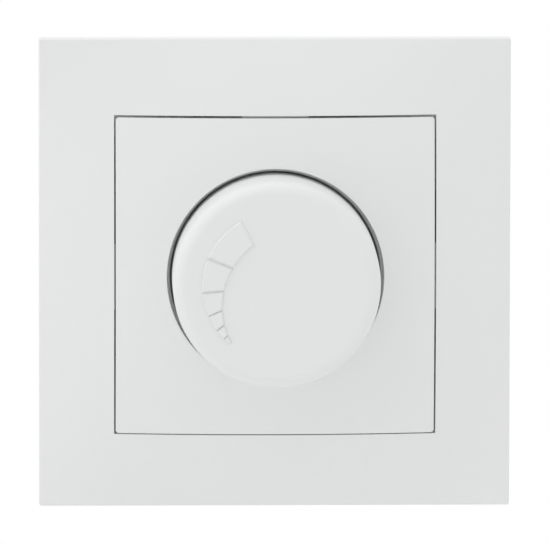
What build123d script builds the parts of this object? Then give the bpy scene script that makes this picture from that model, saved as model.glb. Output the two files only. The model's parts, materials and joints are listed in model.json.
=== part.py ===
from build123d import *
import os
from math import cos, pi, radians, sin

# A flush-mounted push and turn dimmer. Sizes are in millimetres.
# It is drawn lying on a bench: x across, y up the wall, z out of the wall, with z = 0 on the wall.

# Clearances
RUN_FIT = 0.05
THRUST_GAP = 0.05
SLIDE_GAP = 0.2
FREE_GAP = 0.4

# Cover frame, and the pillow-shaped front that the frame and the plate share
FRAME_SIDE = 81.0
FRAME_CORNER_RADIUS = 0.4
FRAME_EDGE_HEIGHT = 2.5
FRAME_RIM_RADIUS = 0.35
FRAME_WALL = 1.6
DOME_RISE = 8.0
SKIRT_WALL = 1.5
LEDGE_WIDTH = 1.9
LEDGE_THICKNESS = 1.1
NUB_HALF_LENGTH = 5.7
NUB_DEPTH = 1.0
CUTOUT_LENGTH = 8.5
RIB_THICKNESS = 1.0
RIB_PLACE = 20.0

# Centre plate
PLATE_SIDE = 54.7
PLATE_GAP = 0.26
PLATE_DROP = 0.13
PLATE_CORNER_RADIUS = 0.6
PLATE_EDGE_RADIUS = 0.18
PLATE_WALL = 1.4
HOLE_RISE = 0.12
HOLE_EDGE_RADIUS = 0.1
WELL_WALL = 1.3
WELL_FLOOR_THICKNESS = 1.4
WELL_STEP_HEIGHT = 3.1
WELL_STEP_GAP = 0.35

# Knob
KNOB_RADIUS = 17.75
KNOB_GAP = 0.85
KNOB_REACH = 19.5
KNOB_EDGE_RADIUS = 2.1
KNOB_WALL = 1.7
KNOB_FRONT_WALL = 2.0
KNOB_RIB_THICKNESS = 1.2
KNOB_RIB_DEPTH = 8.0
HUB_RADIUS = 5.0
PUSH_TRAVEL = 1.5

# Raised wedge on the knob: a crescent between two circles, cut into segments that get shorter anticlockwise.
# Its angles are in degrees, anticlockwise from the right; from one segment to the next,
# the gap and the slope round the edge shrink by the gap's ratio
WEDGE_OUTER_RADIUS = 12.85
WEDGE_INNER_RADIUS = 13.05
WEDGE_OFFSET = 5.2
WEDGE_OFFSET_ANGLE = -44.7
WEDGE_HEIGHT = 0.4
WEDGE_SLOPE = 0.34
WEDGE_COUNT = 6
WEDGE_START_ANGLE = 118.6
WEDGE_PITCH_ANGLE = 40.0
WEDGE_PITCH_RATIO = 0.68
WEDGE_GAP_ANGLE = 1.2
WEDGE_GAP_RATIO = 0.85

# Support ring and its rivets
RING_MARGIN = 2.0
RING_THICKNESS = 1.0
RING_CORNER_CUT = 7.0
BOX_SCREW_SPACING = 60.0
BOX_SLOT_RADIUS = 1.9
BOX_SLOT_LENGTH = 5.0
RIVET_INSET = 3.0
RIVET_RADIUS = 1.3
RIVET_HEAD_RADIUS = 2.0
RIVET_HEAD_HEIGHT = 0.5
RIVET_DEPTH = 2.5

# Housing
BOSS_RADIUS = 18.0
BOSS_PROUD = 0.6
FRONT_DISC_THICKNESS = 3.0
HOUSING_RADIUS = 26.0
HOUSING_WALL = 1.8
HOUSING_FLOOR_THICKNESS = 1.5
HOUSING_EDGE_RADIUS = 1.0
HOUSING_FLAT_DEPTH = 3.1
HOUSING_FLAT_WALL = 2.0
SPIGOT_DEPTH = 1.5
SPIGOT_WALL = 1.4
COLUMN_ANGLE = 48.0
COLUMN_INSET = 4.0
COLUMN_RADIUS = 3.4
COLUMN_SEAT_WALL = 6.0
HOUSING_SCREW_RADIUS = 1.25
HOUSING_SCREW_HEAD_RADIUS = 2.4
HOUSING_SCREW_HEAD_HEIGHT = 1.8
HOUSING_SCREW_BITE = 5.0
VENT_WIDTH = 1.6
VENT_LENGTH = 14.0
VENT_PITCH = 3.4
VENT_COUNT = 4
VENT_START_Y = 7.5

# Claws
CLAW_HALF_WIDTH = 5.6
CLAW_SHEET = 1.2
CLAW_ARM_LENGTH = 14.5
CLAW_TOP_GAP = 2.5
CLAW_LEVER = 4.5
CLAW_FOOT_REACH = 6.8
CLAW_FORK_ROOT = 2.4
CLAW_EYE_RADIUS = 1.6
CLAW_PIN_RADIUS = 0.8
CLAW_TOOTH_WIDTH = 3.2
CLAW_TOOTH_REACH = 1.4
CLAW_TOOTH_COUNT = 3
CLAW_SCREW_RADIUS = 1.5
CLAW_HEAD_RADIUS = 2.5
CLAW_HEAD_HEIGHT = 1.1
CLAW_NUT_RADIUS = 2.0
CLAW_SCREW_TIP = 0.85
POCKET_HALF_WIDTH = 6.5
POCKET_WALL = 1.5
POCKET_FLOOR_GAP = 0.8
POCKET_END_GAP = 1.5
LUG_WIDTH = 1.2
LUG_HALF_HEIGHT = 2.2

# Pot, shaft and the nut that clamps the plate
SHAFT_RADIUS = 3.0
SHAFT_FLAT = 1.0
SHAFT_TENON_FLAT = 0.7
SHAFT_SEAT_DEPTH = 10.0
BUSH_RADIUS = 5.0
BUSH_PROUD = 1.0
BUSH_FLANGE_RADIUS = 8.5
BUSH_FLANGE_THICKNESS = 1.0
WASHER_RADIUS = 8.5
WASHER_THICKNESS = 0.5
WASHER_TEETH = 12
WASHER_TOOTH_DEPTH = 1.3
NUT_ACROSS_FLATS = 14.0
NUT_THICKNESS = 2.0
POT_DEPTH = 5.0
POT_WALL = 0.8
TRACK_THICKNESS = 0.8
TRACK_INNER_RADIUS = 4.4
TRACK_GAP_ANGLE = 50.0
WIPER_THICKNESS = 2.2
WIPER_CONTACT_THICKNESS = 0.4
WIPER_CONTACT_WIDTH = 2.6
KNOB_CLIP_THICKNESS = 0.4
KNOB_CLIP_WIDTH = 3.6
SHAFT_CLIP_RADIUS = 4.1
SHAFT_CLIP_THICKNESS = 0.6
SHAFT_CLIP_MOUTH = 4.0
SHAFT_TAIL = 0.3

# Push switch
SWITCH_SIDE = 11.0
SWITCH_WALL = 1.2
SWITCH_TOP_WALL = 1.0
SWITCH_ROOM = 6.0
PLUNGER_THICKNESS = 1.9
BRIDGE_THICKNESS = 0.4
BRIDGE_WIDTH = 1.2
BRIDGE_Y = 3.2
CONTACT_X = 3.2
CONTACT_SIDE = 1.2
CONTACT_TAIL = 0.8
SPRING_RADIUS = 2.0
SPRING_WIRE_RADIUS = 0.2
SPRING_TURNS = 3

# Circuit board and what it carries
BOARD_THICKNESS = 1.6
CHOKE_RADIUS = 5.2
CHOKE_HOLE_RADIUS = 2.8
CHOKE_LENGTH = 5.0
CHOKE_WINDING = 0.8
CHOKE_GAP_WIDTH = 3.0
SINK_THICKNESS = 1.5
SINK_WIDTH = 14.0
TRIAC_WIDTH = 10.0
TRIAC_DEPTH = 4.5
TRIAC_HEIGHT = 6.7
TRIAC_TAB = 1.3
TRIAC_LEAD = 0.8
TRIAC_LEAD_PITCH = 2.54
TRIAC_LEAD_LENGTH = 1.9
TRIAC_SCREW_RADIUS = 1.5
TRIAC_SCREW_HEAD_RADIUS = 2.0
TRIAC_SCREW_HEAD_HEIGHT = 1.8
CAPACITOR_LENGTH = 13.0
CAPACITOR_WIDTH = 6.0
CAPACITOR_HEIGHT = 12.0
CAPACITOR_GAP = 2.6
CAPACITOR_CORNER_RADIUS = 0.6
TIMING_LENGTH = 9.0
TIMING_WIDTH = 3.6
TIMING_HEIGHT = 4.6
RESISTOR_RADIUS = 1.2
RESISTOR_LENGTH = 6.4
DIAC_RADIUS = 1.0
DIAC_LENGTH = 4.2
LEAD_RADIUS = 0.3
LEAD_RUN = 1.2
AXIAL_LIFT = 0.3
AXIAL_X = 12.4
AXIAL_Y = 7.0
FUSE_LENGTH = 20.0
FUSE_RADIUS = 2.6
FUSE_CAP_LENGTH = 5.0
FUSE_CAP_WALL = 0.3
FUSE_GLASS_WALL = 0.4
FUSE_CLIP_WALL = 0.4
FUSE_CLIP_LENGTH = 3.0

# Terminals
TERMINAL_PITCH = 8.5
TERMINAL_COUNT = 3
CHAMBER_WALL = 1.5
CAGE_WIDTH = 6.2
CAGE_LENGTH = 5.0
CAGE_SIDE_WALL = 0.9
CAGE_END_WALL = 1.3
CAGE_STROKE = 2.4
CAGE_TO_BOARD = 2.05
CAGE_GAP = 0.15
BAR_THICKNESS = 1.0
BAR_WIDTH = 4.0
BAR_SEAT = 0.8
TAIL_THICKNESS = 0.6
WIRE_HOLE_RADIUS = 1.5
WIRE_MARGIN = 0.35
TERMINAL_SCREW_RADIUS = 1.75
TERMINAL_HEAD_RADIUS = 2.6
TERMINAL_HEAD_HEIGHT = 1.8
DRIVER_HOLE_RADIUS = 2.3
SCREW_SLOT_WIDTH = 0.8
SCREW_SLOT_DEPTH = 0.7
SCREW_SLOT_TURN = 35.0

# Levels along z that follow from the sizes above, from the knob back to the housing's rear
BOSS_FRONT = RING_THICKNESS + BOSS_PROUD
WELL_FLOOR = BOSS_FRONT + WELL_FLOOR_THICKNESS
WELL_STEP_FRONT = WELL_FLOOR + WELL_STEP_HEIGHT
WASHER_FRONT = WELL_FLOOR + WASHER_THICKNESS
NUT_FRONT = WASHER_FRONT + NUT_THICKNESS
BUSH_FRONT = NUT_FRONT + BUSH_PROUD
KNOB_BACK = WELL_FLOOR + PUSH_TRAVEL + FREE_GAP
KNOB_CEILING = KNOB_REACH - KNOB_FRONT_WALL
HUB_BACK = BUSH_FRONT + PUSH_TRAVEL + FREE_GAP
SHAFT_FRONT = HUB_BACK + SHAFT_SEAT_DEPTH
LEDGE_BACK = RING_THICKNESS + CLAW_HEAD_HEIGHT + FREE_GAP
LEDGE_FRONT = LEDGE_BACK + LEDGE_THICKNESS
DISC_BACK = -FRONT_DISC_THICKNESS
FLANGE_BACK = DISC_BACK - BUSH_FLANGE_THICKNESS
POT_BACK = FLANGE_BACK - POT_DEPTH
POT_FLOOR = POT_BACK + POT_WALL
TRACK_FRONT = POT_FLOOR + TRACK_THICKNESS
CONTACT_BACK = TRACK_FRONT + SLIDE_GAP
WIPER_BACK = CONTACT_BACK + WIPER_CONTACT_THICKNESS
WIPER_FRONT = WIPER_BACK + WIPER_THICKNESS
BOARD_BACK = POT_BACK - BOARD_THICKNESS
SWITCH_CEILING = POT_BACK - SWITCH_TOP_WALL
SWITCH_FLOOR = SWITCH_CEILING - SWITCH_ROOM
SWITCH_BACK = SWITCH_FLOOR - SWITCH_WALL
SHAFT_CLIP_FRONT = SWITCH_CEILING - THRUST_GAP
SHAFT_BACK = SHAFT_CLIP_FRONT - SHAFT_CLIP_THICKNESS - SHAFT_TAIL
PLUNGER_FRONT = SHAFT_BACK - THRUST_GAP
PLUNGER_BACK = PLUNGER_FRONT - PLUNGER_THICKNESS
BRIDGE_BACK = PLUNGER_BACK - BRIDGE_THICKNESS
CONTACT_FRONT = BRIDGE_BACK - PUSH_TRAVEL - SLIDE_GAP
CAGE_FRONT = BOARD_BACK - CAGE_TO_BOARD
CAGE_INNER_FRONT = CAGE_FRONT - CAGE_END_WALL
WIRE_Z = CAGE_INNER_FRONT - WIRE_MARGIN - WIRE_HOLE_RADIUS
BAR_FRONT = WIRE_Z - WIRE_HOLE_RADIUS - WIRE_MARGIN
BAR_BACK = BAR_FRONT - BAR_THICKNESS
CAGE_INNER_BACK = BAR_BACK - CAGE_GAP
CAGE_BACK = CAGE_INNER_BACK - CAGE_END_WALL
TERMINAL_HEAD_FRONT = CAGE_BACK - CAGE_STROKE - CAGE_GAP
TERMINAL_HEAD_BACK = TERMINAL_HEAD_FRONT - TERMINAL_HEAD_HEIGHT
HOUSING_FLOOR = TERMINAL_HEAD_BACK - SLIDE_GAP
HOUSING_BACK = HOUSING_FLOOR - HOUSING_FLOOR_THICKNESS
COLUMN_SEAT = BOARD_BACK - COLUMN_SEAT_WALL

# Places across the wall that follow from the sizes above
OPENING_SIDE = PLATE_SIDE + 2 * PLATE_GAP
HOLE_RADIUS = KNOB_RADIUS + KNOB_GAP
WELL_RADIUS = HOLE_RADIUS + WELL_WALL
WELL_STEP_RADIUS = KNOB_RADIUS + WELL_STEP_GAP
RING_SIDE = FRAME_SIDE - 2 * FRAME_WALL - 2 * RING_MARGIN
RIVET_PLACE = (HOUSING_RADIUS - RIVET_INSET) * cos(radians(45))
CAVITY_RADIUS = HOUSING_RADIUS - HOUSING_WALL
COLUMN_X = (CAVITY_RADIUS - COLUMN_INSET) * cos(radians(COLUMN_ANGLE))
COLUMN_Y = (CAVITY_RADIUS - COLUMN_INSET) * sin(radians(COLUMN_ANGLE))
FLAT_Y = HOUSING_FLAT_DEPTH - HOUSING_RADIUS
FLAT_INNER_Y = FLAT_Y + HOUSING_FLAT_WALL
CLAW_SCREW_X = WELL_RADIUS + FREE_GAP + CLAW_HEAD_RADIUS
CLAW_PIVOT_X = CLAW_SCREW_X + CLAW_LEVER
CLAW_PIVOT_Z = -CLAW_TOP_GAP - CLAW_ARM_LENGTH
CLAW_NUT_Z = CLAW_PIVOT_Z - CLAW_SHEET / 2 - CLAW_NUT_RADIUS - THRUST_GAP
CLAW_TIP_Z = CLAW_NUT_Z - CLAW_NUT_RADIUS - CLAW_SCREW_TIP
POCKET_X = CLAW_SCREW_X - CLAW_NUT_RADIUS - POCKET_FLOOR_GAP
POCKET_BACK = CLAW_TIP_Z - POCKET_END_GAP
CAGE_OUTER_Y = FLAT_INNER_Y + FREE_GAP
CAGE_INNER_Y = CAGE_OUTER_Y + CAGE_LENGTH
TERMINAL_Y = (CAGE_OUTER_Y + CAGE_INNER_Y) / 2
TAIL_OUTER_Y = CAGE_INNER_Y + SLIDE_GAP
TAIL_INNER_Y = TAIL_OUTER_Y + TAIL_THICKNESS
FUSE_Y = TAIL_INNER_Y + SLIDE_GAP + FUSE_CLIP_WALL + FUSE_RADIUS
FUSE_Z = BOARD_BACK - FUSE_CLIP_WALL - FUSE_RADIUS
POCKET_INNER_X = POCKET_X - POCKET_WALL
TRIAC_FRONT = BOARD_BACK - TRIAC_LEAD_LENGTH
TRIAC_BACK = TRIAC_FRONT - TRIAC_HEIGHT
TRIAC_SCREW_Z = TRIAC_BACK - SLIDE_GAP - TRIAC_SCREW_HEAD_RADIUS
SINK_BACK = TRIAC_SCREW_Z - TRIAC_SCREW_HEAD_RADIUS - SLIDE_GAP
SINK_X = POCKET_INNER_X - FREE_GAP
CHOKE_X = -(SWITCH_SIDE / 2 + POCKET_INNER_X) / 2
CAPACITOR_Y = SWITCH_SIDE / 2 + CAPACITOR_GAP + CAPACITOR_WIDTH / 2
TIMING_Y = -BUSH_FLANGE_RADIUS - CAPACITOR_GAP - TIMING_WIDTH / 2
ABOVE = 2 * KNOB_REACH


def cylinder(radius, low, high, x=0.0, y=0.0):
    """A round bar along z between two levels."""
    return Pos(x, y, (low + high) / 2) * Cylinder(radius, high - low)


def bar_across(radius, length, x, z, y=0.0):
    """A round bar along y, centred on y."""
    return Pos(x, y, z) * Rot(90, 0, 0) * Cylinder(radius, length)


def block(xs, ys, zs):
    """A box between two values on each axis."""
    middle = Pos(sum(xs) / 2, sum(ys) / 2, sum(zs) / 2)
    return middle * Box(xs[1] - xs[0], ys[1] - ys[0], zs[1] - zs[0])


def prism(side, low, high, corner=0.0):
    """A square bar along z, with rounded corners if a radius is given."""
    outline = RectangleRounded(side, side, corner) if corner else Rectangle(side, side)
    return Pos(0, 0, low) * extrude(outline, high - low)


def dome(drop=0.0):
    """Everything between the wall and the pillow-shaped front, with that front lowered by drop."""
    half = FRAME_SIDE / 2
    rim = FRAME_EDGE_HEIGHT - drop
    crown = rim + 4 * DOME_RISE
    flat_row = [rim, rim, rim]
    heights = [flat_row, [rim, crown, rim], flat_row]
    stations = (-half, 0, half)
    net = [[(x, y, z) for x, z in zip(stations, row)] for y, row in zip(stations, heights)]
    skin = Face.make_bezier_surface(net)
    return extrude(skin, amount=ABOVE, dir=(0, 0, -1)) & prism(FRAME_SIDE, 0, ABOVE)


def four_sides(shape):
    """The same shape on each side of the square."""
    return [Rot(0, 0, 90 * turn) * shape for turn in range(4)]


def both_sides(shape):
    """A shape on the right and its mirror image on the left."""
    return [shape, mirror(shape, about=Plane.YZ)]


def screw_slot(radius, level, x=0.0, y=0.0):
    """The cutter for a straight driver slot across a screw's head, at the level of the head's end."""
    slot = Box(3 * radius, SCREW_SLOT_WIDTH, 2 * SCREW_SLOT_DEPTH)
    return Pos(x, y, level) * Rot(0, 0, SCREW_SLOT_TURN) * slot


def cover_frame():
    """Hollow domed frame: outer shell, skirt round the opening, ledge, cut-outs, nubs and ribs."""
    outer = dome()
    outer = fillet(outer.edges().filter_by(Axis.Z), FRAME_CORNER_RADIUS)
    front = outer.faces().sort_by(Axis.Z)[-1]
    outer = fillet(front.edges(), FRAME_RIM_RADIUS)
    hollow = dome(FRAME_WALL) & prism(FRAME_SIDE - 2 * FRAME_WALL, 0, ABOVE)
    under_front = dome(FRAME_WALL / 2)
    skirt = under_front & prism(OPENING_SIDE + 2 * SKIRT_WALL, LEDGE_BACK, ABOVE)
    shell = outer - hollow + skirt
    rib_span = (OPENING_SIDE / 2, FRAME_SIDE / 2 - FRAME_WALL / 2)
    for place in (-RIB_PLACE, RIB_PLACE):
        thickness = (place - RIB_THICKNESS / 2, place + RIB_THICKNESS / 2)
        rib = block(rib_span, thickness, (RING_THICKNESS + FREE_GAP, ABOVE)) & under_front
        shell += four_sides(rib)
    shell -= prism(OPENING_SIDE, -ABOVE, ABOVE)
    ledge = prism(OPENING_SIDE + SKIRT_WALL, LEDGE_BACK, LEDGE_FRONT)
    ledge -= prism(OPENING_SIDE - 2 * LEDGE_WIDTH, -ABOVE, ABOVE)
    cutout_depth = (OPENING_SIDE / 2 - LEDGE_WIDTH - SKIRT_WALL, OPENING_SIDE / 2)
    for way in (-1, 1):
        ends = sorted((way * NUB_HALF_LENGTH, way * (NUB_HALF_LENGTH + CUTOUT_LENGTH)))
        ledge -= four_sides(block(cutout_depth, ends, (-ABOVE, ABOVE)))
    nub_depth = (OPENING_SIDE / 2 - PLATE_GAP + RUN_FIT, OPENING_SIDE / 2 + SKIRT_WALL / 2)
    nub = block(nub_depth, (-NUB_HALF_LENGTH, NUB_HALF_LENGTH), (LEDGE_BACK, ABOVE)) & dome(NUB_DEPTH)
    nubs = [Pos(0, -PLATE_DROP, 0) * side_nub for side_nub in four_sides(nub)]
    return shell + ledge + nubs


def centre_plate():
    """Domed square plate with a skirt that stands on the frame's ledge, and the knob's stepped round well."""
    lowered = Pos(0, -PLATE_DROP, 0)
    outer = dome() & lowered * prism(PLATE_SIDE, LEDGE_FRONT, ABOVE, PLATE_CORNER_RADIUS)
    front = outer.faces().sort_by(Axis.Z)[-1]
    outer = fillet(front.edges(), PLATE_EDGE_RADIUS)
    hollow = dome(PLATE_WALL) & lowered * prism(PLATE_SIDE - 2 * PLATE_WALL, 0, ABOVE)
    well = cylinder(WELL_RADIUS, BOSS_FRONT, ABOVE) & dome(PLATE_WALL / 2)
    plate = outer - hollow + well
    plate -= cylinder(HOLE_RADIUS, WELL_STEP_FRONT, ABOVE, 0, HOLE_RISE)
    plate -= cylinder(WELL_STEP_RADIUS, WELL_FLOOR, ABOVE)
    round_edges = plate.edges().filter_by(lambda edge: abs(edge.length - 2 * pi * HOLE_RADIUS) < WELL_WALL)
    plate = fillet(round_edges.sort_by(Axis.Z)[-1], HOLE_EDGE_RADIUS)
    return plate - cylinder(BUSH_RADIUS + RUN_FIT, -ABOVE, ABOVE)


def wedge_segment(number):
    """One raised segment of the wedge, counted from its broad end."""
    passed = sum(WEDGE_PITCH_RATIO ** step for step in range(number))
    start = WEDGE_START_ANGLE + WEDGE_PITCH_ANGLE * passed
    span = WEDGE_PITCH_ANGLE * WEDGE_PITCH_RATIO ** number - WEDGE_GAP_ANGLE * WEDGE_GAP_RATIO ** number
    reach = 2 * WEDGE_OUTER_RADIUS
    turn = radians(WEDGE_OFFSET_ANGLE)
    inner = Pos(WEDGE_OFFSET * cos(turn), WEDGE_OFFSET * sin(turn)) * Circle(WEDGE_INNER_RADIUS)
    rays = [(reach * cos(radians(a)), reach * sin(radians(a))) for a in (start, start + span)]
    sector = make_face(Polyline((0, 0), rays[0], rays[1], (0, 0)))
    outline = (Circle(WEDGE_OUTER_RADIUS) - inner) & sector
    raised = Pos(0, 0, KNOB_REACH) * extrude(outline, WEDGE_HEIGHT)
    top = raised.faces().sort_by(Axis.Z)[-1]
    return chamfer(top.edges(), WEDGE_SLOPE * WEDGE_GAP_RATIO ** number)


def knob():
    """Round cup with a hub on the shaft, ribs behind its face, and the wedge raised on it."""
    cup = cylinder(KNOB_RADIUS, KNOB_BACK, KNOB_REACH)
    cup = fillet(cup.edges().sort_by(Axis.Z)[-1], KNOB_EDGE_RADIUS)
    cup -= cylinder(KNOB_RADIUS - KNOB_WALL, KNOB_BACK, KNOB_CEILING)
    reach = KNOB_RADIUS - KNOB_WALL / 2
    thickness = (-KNOB_RIB_THICKNESS / 2, KNOB_RIB_THICKNESS / 2)
    rib = block((-reach, reach), thickness, (KNOB_CEILING - KNOB_RIB_DEPTH, KNOB_CEILING))
    cup += [rib, Rot(0, 0, 90) * rib, cylinder(HUB_RADIUS, HUB_BACK, KNOB_CEILING)]
    flat_x = SHAFT_RADIUS - SHAFT_FLAT + KNOB_CLIP_THICKNESS
    bore = cylinder(SHAFT_RADIUS + RUN_FIT, HUB_BACK, SHAFT_FRONT)
    bore -= block((flat_x, KNOB_RADIUS), (-KNOB_RADIUS, KNOB_RADIUS), (-ABOVE, ABOVE))
    return cup - bore + [wedge_segment(number) for number in range(WEDGE_COUNT)]


def knob_clip():
    """Leaf spring between the shaft's flat and the hub."""
    flat_x = SHAFT_RADIUS - SHAFT_FLAT
    half = KNOB_CLIP_WIDTH / 2
    return block((flat_x, flat_x + KNOB_CLIP_THICKNESS), (-half, half), (HUB_BACK, SHAFT_FRONT))


def shaft():
    """Round shaft: a flat for the knob at the front, and a tenon with two flats for the wiper behind."""
    bar = cylinder(SHAFT_RADIUS, SHAFT_BACK, SHAFT_FRONT)
    wide = (-KNOB_RADIUS, KNOB_RADIUS)
    bar -= block((SHAFT_RADIUS - SHAFT_FLAT, KNOB_RADIUS), wide, (HUB_BACK, ABOVE))
    tenon_front = WIPER_FRONT + PUSH_TRAVEL + FREE_GAP
    tenon_x = SHAFT_RADIUS - SHAFT_TENON_FLAT
    bar -= both_sides(block((tenon_x, KNOB_RADIUS), wide, (-ABOVE, tenon_front)))
    return bar


def shaft_clip():
    """Open retaining clip near the shaft's rear end, which stops it under the switch's top wall."""
    low = SHAFT_CLIP_FRONT - SHAFT_CLIP_THICKNESS
    ring = cylinder(SHAFT_CLIP_RADIUS, low, SHAFT_CLIP_FRONT)
    half = SHAFT_CLIP_MOUTH / 2
    return ring - shaft() - block((-half, half), (0, SHAFT_CLIP_RADIUS), (-ABOVE, ABOVE))


def pot_bush():
    """Threaded bush with a flange behind the housing's front, bored for the shaft."""
    bush = cylinder(BUSH_RADIUS, DISC_BACK, BUSH_FRONT)
    bush += cylinder(BUSH_FLANGE_RADIUS, FLANGE_BACK, DISC_BACK)
    return bush - cylinder(SHAFT_RADIUS + RUN_FIT, -ABOVE, ABOVE)


def lock_washer():
    """Flat washer with teeth round its edge."""
    ring = cylinder(WASHER_RADIUS, WELL_FLOOR, WASHER_FRONT)
    ring -= cylinder(BUSH_RADIUS, -ABOVE, ABOVE)
    side = WASHER_TOOTH_DEPTH * 2 ** 0.5
    notch = Pos(WASHER_RADIUS, 0, WELL_FLOOR) * Rot(0, 0, 45) * Box(side, side, ABOVE)
    step = 360 / WASHER_TEETH
    return ring - [Rot(0, 0, step * turn) * notch for turn in range(WASHER_TEETH)]


def fixing_nut():
    """Hexagonal nut on the bush."""
    corner = NUT_ACROSS_FLATS / 2 / cos(radians(30))
    hexagon = Pos(0, 0, WASHER_FRONT) * extrude(RegularPolygon(corner, 6), NUT_THICKNESS)
    return hexagon - cylinder(BUSH_RADIUS, -ABOVE, ABOVE)


def pot_case():
    """Round metal cup behind the bush's flange."""
    cup = cylinder(BUSH_FLANGE_RADIUS, POT_BACK, FLANGE_BACK)
    cup -= cylinder(BUSH_FLANGE_RADIUS - POT_WALL, POT_FLOOR, FLANGE_BACK)
    return cup - cylinder(SHAFT_RADIUS + FREE_GAP, -ABOVE, ABOVE)


def resistive_track():
    """Flat horseshoe on the pot's floor."""
    ring = cylinder(BUSH_FLANGE_RADIUS - POT_WALL, POT_FLOOR, TRACK_FRONT)
    ring -= cylinder(TRACK_INNER_RADIUS, -ABOVE, ABOVE)
    reach = 2 * BUSH_FLANGE_RADIUS
    half = radians(TRACK_GAP_ANGLE / 2)
    ray = (reach * sin(half), -reach * cos(half))
    gap = make_face(Polyline((0, 0), ray, (-ray[0], ray[1]), (0, 0)))
    return ring - Pos(0, 0, -ABOVE) * extrude(gap, 2 * ABOVE)


def wiper_rotor():
    """Moulded disc that the shaft's tenon turns."""
    disc = cylinder(BUSH_FLANGE_RADIUS - POT_WALL - FREE_GAP, WIPER_BACK, WIPER_FRONT)
    tenon_x = SHAFT_RADIUS - SHAFT_TENON_FLAT + RUN_FIT
    wide = (-KNOB_RADIUS, KNOB_RADIUS)
    bore = cylinder(SHAFT_RADIUS + RUN_FIT, -ABOVE, ABOVE)
    bore -= both_sides(block((tenon_x, KNOB_RADIUS), wide, (-ABOVE, ABOVE)))
    return disc - bore


def wiper_contact():
    """Bent spring strip under the rotor, over the track."""
    half = WIPER_CONTACT_WIDTH / 2
    reach = (TRACK_INNER_RADIUS - 2 * FREE_GAP, BUSH_FLANGE_RADIUS - POT_WALL - 2 * FREE_GAP)
    return block((-half, half), reach, (CONTACT_BACK, WIPER_BACK))


def switch_body():
    """Square box behind the pot with a hole for the shaft, and slots for the fixed contacts."""
    half = SWITCH_SIDE / 2
    room = half - SWITCH_WALL
    box = block((-half, half), (-half, half), (SWITCH_BACK, POT_BACK))
    box -= block((-room, room), (-room, room), (SWITCH_FLOOR, SWITCH_CEILING))
    box -= cylinder(SHAFT_RADIUS + FREE_GAP, SWITCH_CEILING, POT_BACK)
    slot = CONTACT_SIDE / 2 + RUN_FIT
    across = (CONTACT_X - slot, CONTACT_X + slot)
    along = (BRIDGE_Y - slot, BRIDGE_Y + slot)
    return box - both_sides(block(across, along, (SWITCH_BACK, SWITCH_FLOOR)))


def switch_plunger():
    """Square slider that the shaft's end presses."""
    half = SWITCH_SIDE / 2 - SWITCH_WALL - SLIDE_GAP
    return block((-half, half), (-half, half), (PLUNGER_BACK, PLUNGER_FRONT))


def switch_bridge():
    """Contact strip under the plunger."""
    half = SWITCH_SIDE / 2 - SWITCH_WALL - 2 * SLIDE_GAP
    along = (BRIDGE_Y - BRIDGE_WIDTH / 2, BRIDGE_Y + BRIDGE_WIDTH / 2)
    return block((-half, half), along, (BRIDGE_BACK, PLUNGER_BACK))


def switch_contacts():
    """Two fixed contact posts through the switch's floor."""
    half = CONTACT_SIDE / 2
    across = (CONTACT_X - half, CONTACT_X + half)
    along = (BRIDGE_Y - half, BRIDGE_Y + half)
    return Part() + both_sides(block(across, along, (SWITCH_BACK - CONTACT_TAIL, CONTACT_FRONT)))


def return_spring():
    """Coil spring between the switch's floor and the plunger."""
    low = SWITCH_FLOOR + THRUST_GAP + SPRING_WIRE_RADIUS
    height = PLUNGER_BACK - THRUST_GAP - SPRING_WIRE_RADIUS - low
    path = Helix(height / SPRING_TURNS, height, SPRING_RADIUS)
    wire = Plane(path @ 0, z_dir=path % 0) * Circle(SPRING_WIRE_RADIUS)
    return Pos(0, 0, low) * sweep(wire, path=path, is_frenet=True)


def support_ring():
    """Flat steel ring on the wall, with slots for the box's screws and holes for its own."""
    plate = prism(RING_SIDE, 0, RING_THICKNESS)
    plate = chamfer(plate.edges().filter_by(Axis.Z), RING_CORNER_CUT)
    plate -= cylinder(BOSS_RADIUS + SLIDE_GAP, -ABOVE, ABOVE)
    slot = extrude(SlotOverall(BOX_SLOT_LENGTH, 2 * BOX_SLOT_RADIUS), 2 * ABOVE)
    plate -= four_sides(Pos(BOX_SCREW_SPACING / 2, 0, -ABOVE) * slot)
    plate -= both_sides(cylinder(CLAW_SCREW_RADIUS + SLIDE_GAP, -ABOVE, ABOVE, CLAW_SCREW_X))
    return plate - four_sides(cylinder(RIVET_RADIUS + RUN_FIT, -ABOVE, ABOVE, RIVET_PLACE, RIVET_PLACE))


def ring_rivets():
    """Four flat-headed rivets that hold the ring to the housing's front."""
    rivet = cylinder(RIVET_RADIUS, -RIVET_DEPTH, RING_THICKNESS, RIVET_PLACE, RIVET_PLACE)
    head_front = RING_THICKNESS + RIVET_HEAD_HEIGHT
    rivet += cylinder(RIVET_HEAD_RADIUS, RING_THICKNESS, head_front, RIVET_PLACE, RIVET_PLACE)
    return Part() + four_sides(rivet)


def pockets(inset):
    """The recesses for the claws at the housing's sides, grown by inset for their walls."""
    half = POCKET_HALF_WIDTH + inset
    recess = block((POCKET_X - inset, 2 * HOUSING_RADIUS), (-half, half), (POCKET_BACK - inset, ABOVE))
    return both_sides(recess)


def flat_side(inset):
    """Everything below the housing's flat side, moved into it by inset."""
    wide = (-2 * HOUSING_RADIUS, 2 * HOUSING_RADIUS)
    return block(wide, (-2 * HOUSING_RADIUS, FLAT_Y + inset), (-ABOVE, ABOVE))


def columns(radius, low, high):
    """Round posts at the two housing screws."""
    return both_sides(cylinder(radius, low, high, COLUMN_X, COLUMN_Y))


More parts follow.
